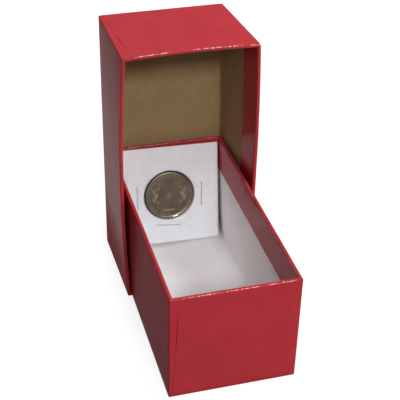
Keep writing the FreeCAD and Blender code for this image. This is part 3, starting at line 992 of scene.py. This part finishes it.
def struck_coin(name):
    """The coin as one closed skin: two struck faces and a reeded edge."""
    field = COIN_HALF_THICK - RIM_HEIGHT
    rings = coin_face(-1, field) + reeded_edge(field) + coin_face(1, field)[::-1]
    vertices = [point for ring in rings for point, _ in ring]
    worn = [share for ring in rings for _, share in ring]
    piece = mesh_object(name, vertices, closed_skin(COIN_TURNS, len(rings)), smooth_angle=60)
    mark_points(piece, "struck", worn)
    return piece


def coin_metal_finish():
    """Nickel alloy, toned brown in its field and rubbed bright on its high points, with hairlines."""
    finish, tree, shader = new_finish("coin_metal")
    struck = marked(tree, "struck")
    toning = between(tree, grain(tree, TONING_PATCH, detail=2), 0.3, 0.75)
    colour = blended(tree, toning, COIN_TONED, COIN_NICKEL)
    colour = blended(tree, between(tree, struck, 0.2, 0.75, 0, 0.9), colour, COIN_BRIGHT)
    hairlines = grain(tree, COIN_HAIRLINE, stretch=(6, 1, 1))
    coat(tree, shader, colour, between(tree, hairlines, 0.3, 0.7, 0.3, 0.45))
    shader.inputs["Metallic"].default_value = 1.0
    relief(tree, shader, hairlines, HAIRLINE_DEPTH)
    return finish


fit_to_holder(struck_coin("coin_struck"), "coin", coin_metal_finish())


# Holder film
# Thin clear film laid inside the folded card and drawn over both faces of the coin, so that it shows in
# the window: flat over the coin, bent round its edge, and puckered where it slips under the card. At the
# bottom, a little to the right, it stands off the coin.
FILM_MARGIN = 1.5 * MM
FILM_OFF_COIN = 0.04 * MM
FILM_BEND = 0.5 * MM
BEND_REACH = 0.58 * MM
FILM_RINGS = (0.03, 0.25, 0.5, 0.7, 0.85, 0.9)
LIFT_RINGS = 9
LIFT_RING = 0.1 * MM
FILM_TURN = 0.12 * MM
FILM_TURN_RISE = 0.25 * MM
FILM_FOOT = 0.2 * MM
LEAF_RINGS = (0.3, 0.65, 1.0)
PUCKERS = 23
PUCKER_DRIFT = 3
PUCKER_HEIGHT = 0.025 * MM
PUCKER_INSET = 0.3 * MM
PUCKER_WIDE = 0.45 * MM
LIFT_TOWARD = math.radians(-76)
LIFT_WIDE = 0.3 * MM
LIFT_SLOPE = math.tan(math.radians(23))
FILM_RUB = 1.2 * MM
FILM_SWELL = 4 * MM
FILM_SWELL_DEPTH = 0.05 * MM
FILM_INDEX = 1.48


def lifted_film(x, z):
    """How far the film stands off the coin near the bottom, where it is pulled flat past the edge."""
    crest = COIN_RADIUS - FILM_BEND
    out = x * math.cos(LIFT_TOWARD) + z * math.sin(LIFT_TOWARD) - (crest - LIFT_WIDE)
    fall = 1 - max(math.hypot(x, z) - crest, 0.0) / FILM_BEND
    return LIFT_SLOPE * max(out, 0.0) * max(fall, 0.0)


def film_leaves():
    """The folded film: two leaves, each with a low cap over the coin."""
    gap = FILM_GAP / 2 + FILM_THICK / 2
    over = COIN_HALF_THICK + FILM_OFF_COIN + FILM_THICK / 2 - gap
    flat = COIN_RADIUS - FILM_BEND
    rows = [(flat * share, 0.0, over) for share in FILM_RINGS]
    rows += [(flat - LIFT_RING * i, 0.0, over) for i in range(LIFT_RINGS, 0, -1)]
    for i in range(FOLD_STEPS + 1):
        angle = math.radians(90 * i / FOLD_STEPS)
        rows.append((flat + BEND_REACH * math.sin(angle), 0.0, over - FILM_BEND * (1 - math.cos(angle))))
    rows += [(COIN_RADIUS + FILM_TURN, 0.0, FILM_TURN_RISE), (COIN_RADIUS + FILM_FOOT, 0.0, 0.0)]
    rows += [(COIN_RADIUS + FILM_FOOT, share, 0.0) for share in LEAF_RINGS]
    width, foot = CARD_SIDE / 2 - FILM_MARGIN, FILM_MARGIN - CARD_SIDE / 2
    piece = folded_leaves("holder_film_sheet", width, foot, gap, rows, FILM_THICK, closed=True)
    for point in piece.data.vertices:
        radius, angle = math.hypot(point.co.x, point.co.z), math.atan2(point.co.z, point.co.x)
        near_edge = math.exp(-(((radius - COIN_RADIUS + PUCKER_INSET) / PUCKER_WIDE) ** 2))
        fold = 0.5 + 0.5 * math.sin(PUCKERS * angle + PUCKER_DRIFT * math.sin(2 * angle))
        pucker = PUCKER_HEIGHT * near_edge * fold
        point.co.y += math.copysign(pucker + lifted_film(point.co.x, point.co.z), point.co.y)
    return piece


def clear_film_finish():
    """Clear film: what lies behind shows through, under a gloss that grows at a slant, faintly rubbed."""
    finish, tree, shader = new_finish("clear_film")
    tree.nodes.remove(shader)
    scuff = grain(tree, FILM_RUB, stretch=(1, 1, 5))
    rough = between(tree, scuff, 0.4, 0.8, 0.05, 0.12)
    gloss = add_node(tree, "BsdfGlossy", {"Roughness": rough})
    clear = add_node(tree, "BsdfTransparent")
    edge = add_node(tree, "Fresnel", {"IOR": FILM_INDEX}).outputs["Fac"]
    both = add_node(tree, "MixShader", {"Fac": edge})
    tree.links.new(clear.outputs["BSDF"], both.inputs[1])
    tree.links.new(gloss.outputs["BSDF"], both.inputs[2])
    tree.links.new(both.outputs["Shader"], tree.nodes["Material Output"].inputs["Surface"])
    swell = grain(tree, FILM_SWELL, detail=2)
    bump = add_node(tree, "Bump", {"Height": swell, "Distance": FILM_SWELL_DEPTH})
    tree.links.new(bump.outputs["Normal"], gloss.inputs["Normal"])
    return finish


fit_to_holder(film_leaves(), "holder_film", clear_film_finish())


# Staples
# Three wire staples close the card beside and below the window. Each crown lies across the front, and its
# legs go through both leaves and are clinched flat on the back.
STEEL = (205, 205, 207)
STEEL_DULL = (176, 175, 176)
WIRE_THICK = 0.4 * MM
WIRE_WIDE = 0.5 * MM
BEND_ROUND = 0.45 * MM
LEG_TURN = 4.6 * MM
TIP_LONG = 0.6 * MM
TIP_OFF = 0.03 * MM
TIP_IN = 0.06 * MM
WIRE_ROUND = 0.12 * MM
DULL_PATCH = 1.5 * MM
DRAWN_LINE = 0.2 * MM
DRAWN_DEPTH = 0.004 * MM
BEND_STEPS = 6
WIRE_STEPS = 3


def staple_path():
    """Middle line of the wire in the staple's own plane, as (along the crown, out from the card)."""
    crown = -(HOLDER_HALF - PINCH + WIRE_THICK / 2)
    leg = STAPLE_HALF - WIRE_THICK / 2
    points = []
    for centre_out, from_angle in ((crown + BEND_ROUND, -90), (-crown - BEND_ROUND, 0)):
        for i in range(BEND_STEPS + 1):
            angle = math.radians(from_angle + 90 * i / BEND_STEPS)
            along = leg - BEND_ROUND + BEND_ROUND * math.cos(angle)
            points.append((along, centre_out + BEND_ROUND * math.sin(angle)))
    points.append((STAPLE_HALF - LEG_TURN + TIP_LONG, -crown + TIP_OFF))
    points.append((STAPLE_HALF - LEG_TURN, -crown - TIP_IN))
    left = [(-along, out) for along, out in reversed(points)]
    return left + [(0.0, crown)] + points


def wire_section():
    """The wire's flattened section, as (across the plane, in the plane), with rounded corners."""
    points = []
    for side, up, start in ((1, 1, 0), (-1, 1, 90), (-1, -1, 180), (1, -1, 270)):
        for i in range(WIRE_STEPS + 1):
            angle = math.radians(start + 90 * i / WIRE_STEPS)
            across = side * (WIRE_WIDE / 2 - WIRE_ROUND) + WIRE_ROUND * math.cos(angle)
            points.append((across, up * (WIRE_THICK / 2 - WIRE_ROUND) + WIRE_ROUND * math.sin(angle)))
    return points


def bent_staple(name, spot_x, spot_z, turn):
    """A staple as one swept wire with closed ends, laid on the card at its spot."""
    path, section = staple_path(), wire_section()
    vertices = []
    for i, (along, out) in enumerate(path):
        before, after = path[max(i - 1, 0)], path[min(i + 1, len(path) - 1)]
        heading = math.atan2(after[1] - before[1], after[0] - before[0])
        for across, lift in section:
            run = along - lift * math.sin(heading)
            depth = out + lift * math.cos(heading)
            x = spot_x + run * math.cos(turn) - across * math.sin(turn)
            z = spot_z + run * math.sin(turn) + across * math.cos(turn)
            vertices.append(Vector((x, depth, z)))
    return mesh_object(name, vertices, closed_skin(len(section), len(path)), smooth_angle=50)


def staple_steel_finish():
    """Bright drawn steel wire, dulled in patches."""
    finish, tree, shader = new_finish("staple_steel")
    dull = between(tree, grain(tree, DULL_PATCH), 0.4, 0.7)
    colour = blended(tree, dull, STEEL, STEEL_DULL)
    coat(tree, shader, colour, between(tree, dull, 0, 1, 0.4, 0.55))
    shader.inputs["Metallic"].default_value = 1.0
    relief(tree, shader, grain(tree, DRAWN_LINE), DRAWN_DEPTH)
    return finish


staple_steel = staple_steel_finish()
for spot, place in STAPLE_SPOTS.items():
    staple = bent_staple(f"staple_{spot}_wire", *place)
    fit_to_holder(staple, f"staple_{spot}", staple_steel)


# Table and room
# A plain white table top that takes the box's shadow and goes on past the picture, in an even white room.
TABLE_HALF = 20.0
TABLE_DROP = 0.05 * MM
TABLE_GREY = 0.3
TABLE_GLOW = 0.8
ROOM_FILL = 0.09


def seen_directly(tree):
    """1 for a camera, mirror or see-through ray, and 0 for light that is gathered off other surfaces."""
    rays = add_node(tree, "LightPath").outputs
    seen = rays["Is Camera Ray"]
    for kind in ("Is Glossy Ray", "Is Transmission Ray"):
        seen = add_node(tree, "Math", {0: seen, 1: rays[kind]}, operation="MAXIMUM").outputs["Value"]
    return seen


corners = ((-1, -1), (1, -1), (1, 1), (-1, 1))
table_points = [(x * TABLE_HALF, y * TABLE_HALF, -TABLE_DROP) for x, y in corners]
table = mesh_object("table_top", table_points, [(0, 1, 2, 3)], smooth_angle=30)
table_white, tree, shader = new_finish("table_white")
tree.nodes.remove(shader)
matt = add_node(tree, "BsdfDiffuse", {"Color": (TABLE_GREY, TABLE_GREY, TABLE_GREY, 1)})
glow = add_node(tree, "Emission", {"Strength": product(tree, seen_directly(tree), TABLE_GLOW)})
both = add_node(tree, "AddShader")
tree.links.new(matt.outputs["BSDF"], both.inputs[0])
tree.links.new(glow.outputs["Emission"], both.inputs[1])
tree.links.new(both.outputs["Shader"], tree.nodes["Material Output"].inputs["Surface"])
table.data.materials.append(table_white)

room = bpy.data.worlds.new("white_room")
room.use_nodes = True
bpy.context.scene.world = room
room_level = between(room.node_tree, seen_directly(room.node_tree), 0, 1, ROOM_FILL, 1.0)
room.node_tree.links.new(room_level, room.node_tree.nodes["Background"].inputs["Strength"])
room.node_tree.nodes["Background"].inputs["Color"].default_value = (1, 1, 1, 1)


# Lamps
# Soft panels in front, overhead and behind, and two at the right, one of them low enough to reach into
# the lid. None stands at the left, so what faces left stays in its own shade.
LAMP_AIM = Vector((0, 0, 0.06))
LAMP_AWAY = 1.25


def soft_lamp(name, turn, height, wide, tall, watts):
    """A lamp panel that faces the box, so many degrees to the right of its front and above the table."""
    data = bpy.data.lights.new(name, "AREA")
    data.shape = "RECTANGLE"
    data.size = wide
    data.size_y = tall
    data.energy = watts
    lamp = bpy.data.objects.new(name, data)
    turn, height = math.radians(turn), math.radians(height)
    reach = math.cos(height)
    toward = Vector((math.sin(turn) * reach, -math.cos(turn) * reach, math.sin(height)))
    lamp.location = LAMP_AIM + LAMP_AWAY * toward
    lamp.rotation_mode = "QUATERNION"
    lamp.rotation_quaternion = (-toward).to_track_quat("-Z", "Y")
    bpy.context.scene.collection.objects.link(lamp)


soft_lamp("front_lamp", turn=0, height=36, wide=0.3, tall=0.18, watts=8.3)
soft_lamp("top_lamp", turn=3, height=84, wide=0.3, tall=0.3, watts=2.0)
soft_lamp("back_lamp", turn=180, height=42, wide=0.5, tall=0.5, watts=7.5)
soft_lamp("right_lamp", turn=70, height=50, wide=0.45, tall=0.4, watts=8.3)
soft_lamp("low_lamp", turn=60, height=10, wide=0.6, tall=0.25, watts=6.6)


# Camera
# Held above the table, in front of the box and to its left, looking down into the tray.
LENS = 93.61
SENSOR = 36
CAMERA_PLACE = Vector((-108.9, -376.3, 309.2)) * MM
CAMERA_TURN = math.radians(16.34)
CAMERA_DIP = math.radians(32.67)
CAMERA_ROLL = math.radians(1.09)

camera_data = bpy.data.cameras.new("photo_camera")
camera_data.lens = LENS
camera_data.sensor_width = SENSOR
camera = bpy.data.objects.new("photo_camera", camera_data)
camera.matrix_world = (
    Matrix.Translation(CAMERA_PLACE)
    @ Matrix.Rotation(-CAMERA_TURN, 4, "Z")
    @ Matrix.Rotation(math.pi / 2 - CAMERA_DIP, 4, "X")
    @ Matrix.Rotation(CAMERA_ROLL, 4, "Z")
)
bpy.context.scene.collection.objects.link(camera)
bpy.context.scene.camera = camera
bpy.context.scene.view_settings.view_transform = "Standard"

bpy.context.view_layer.update()
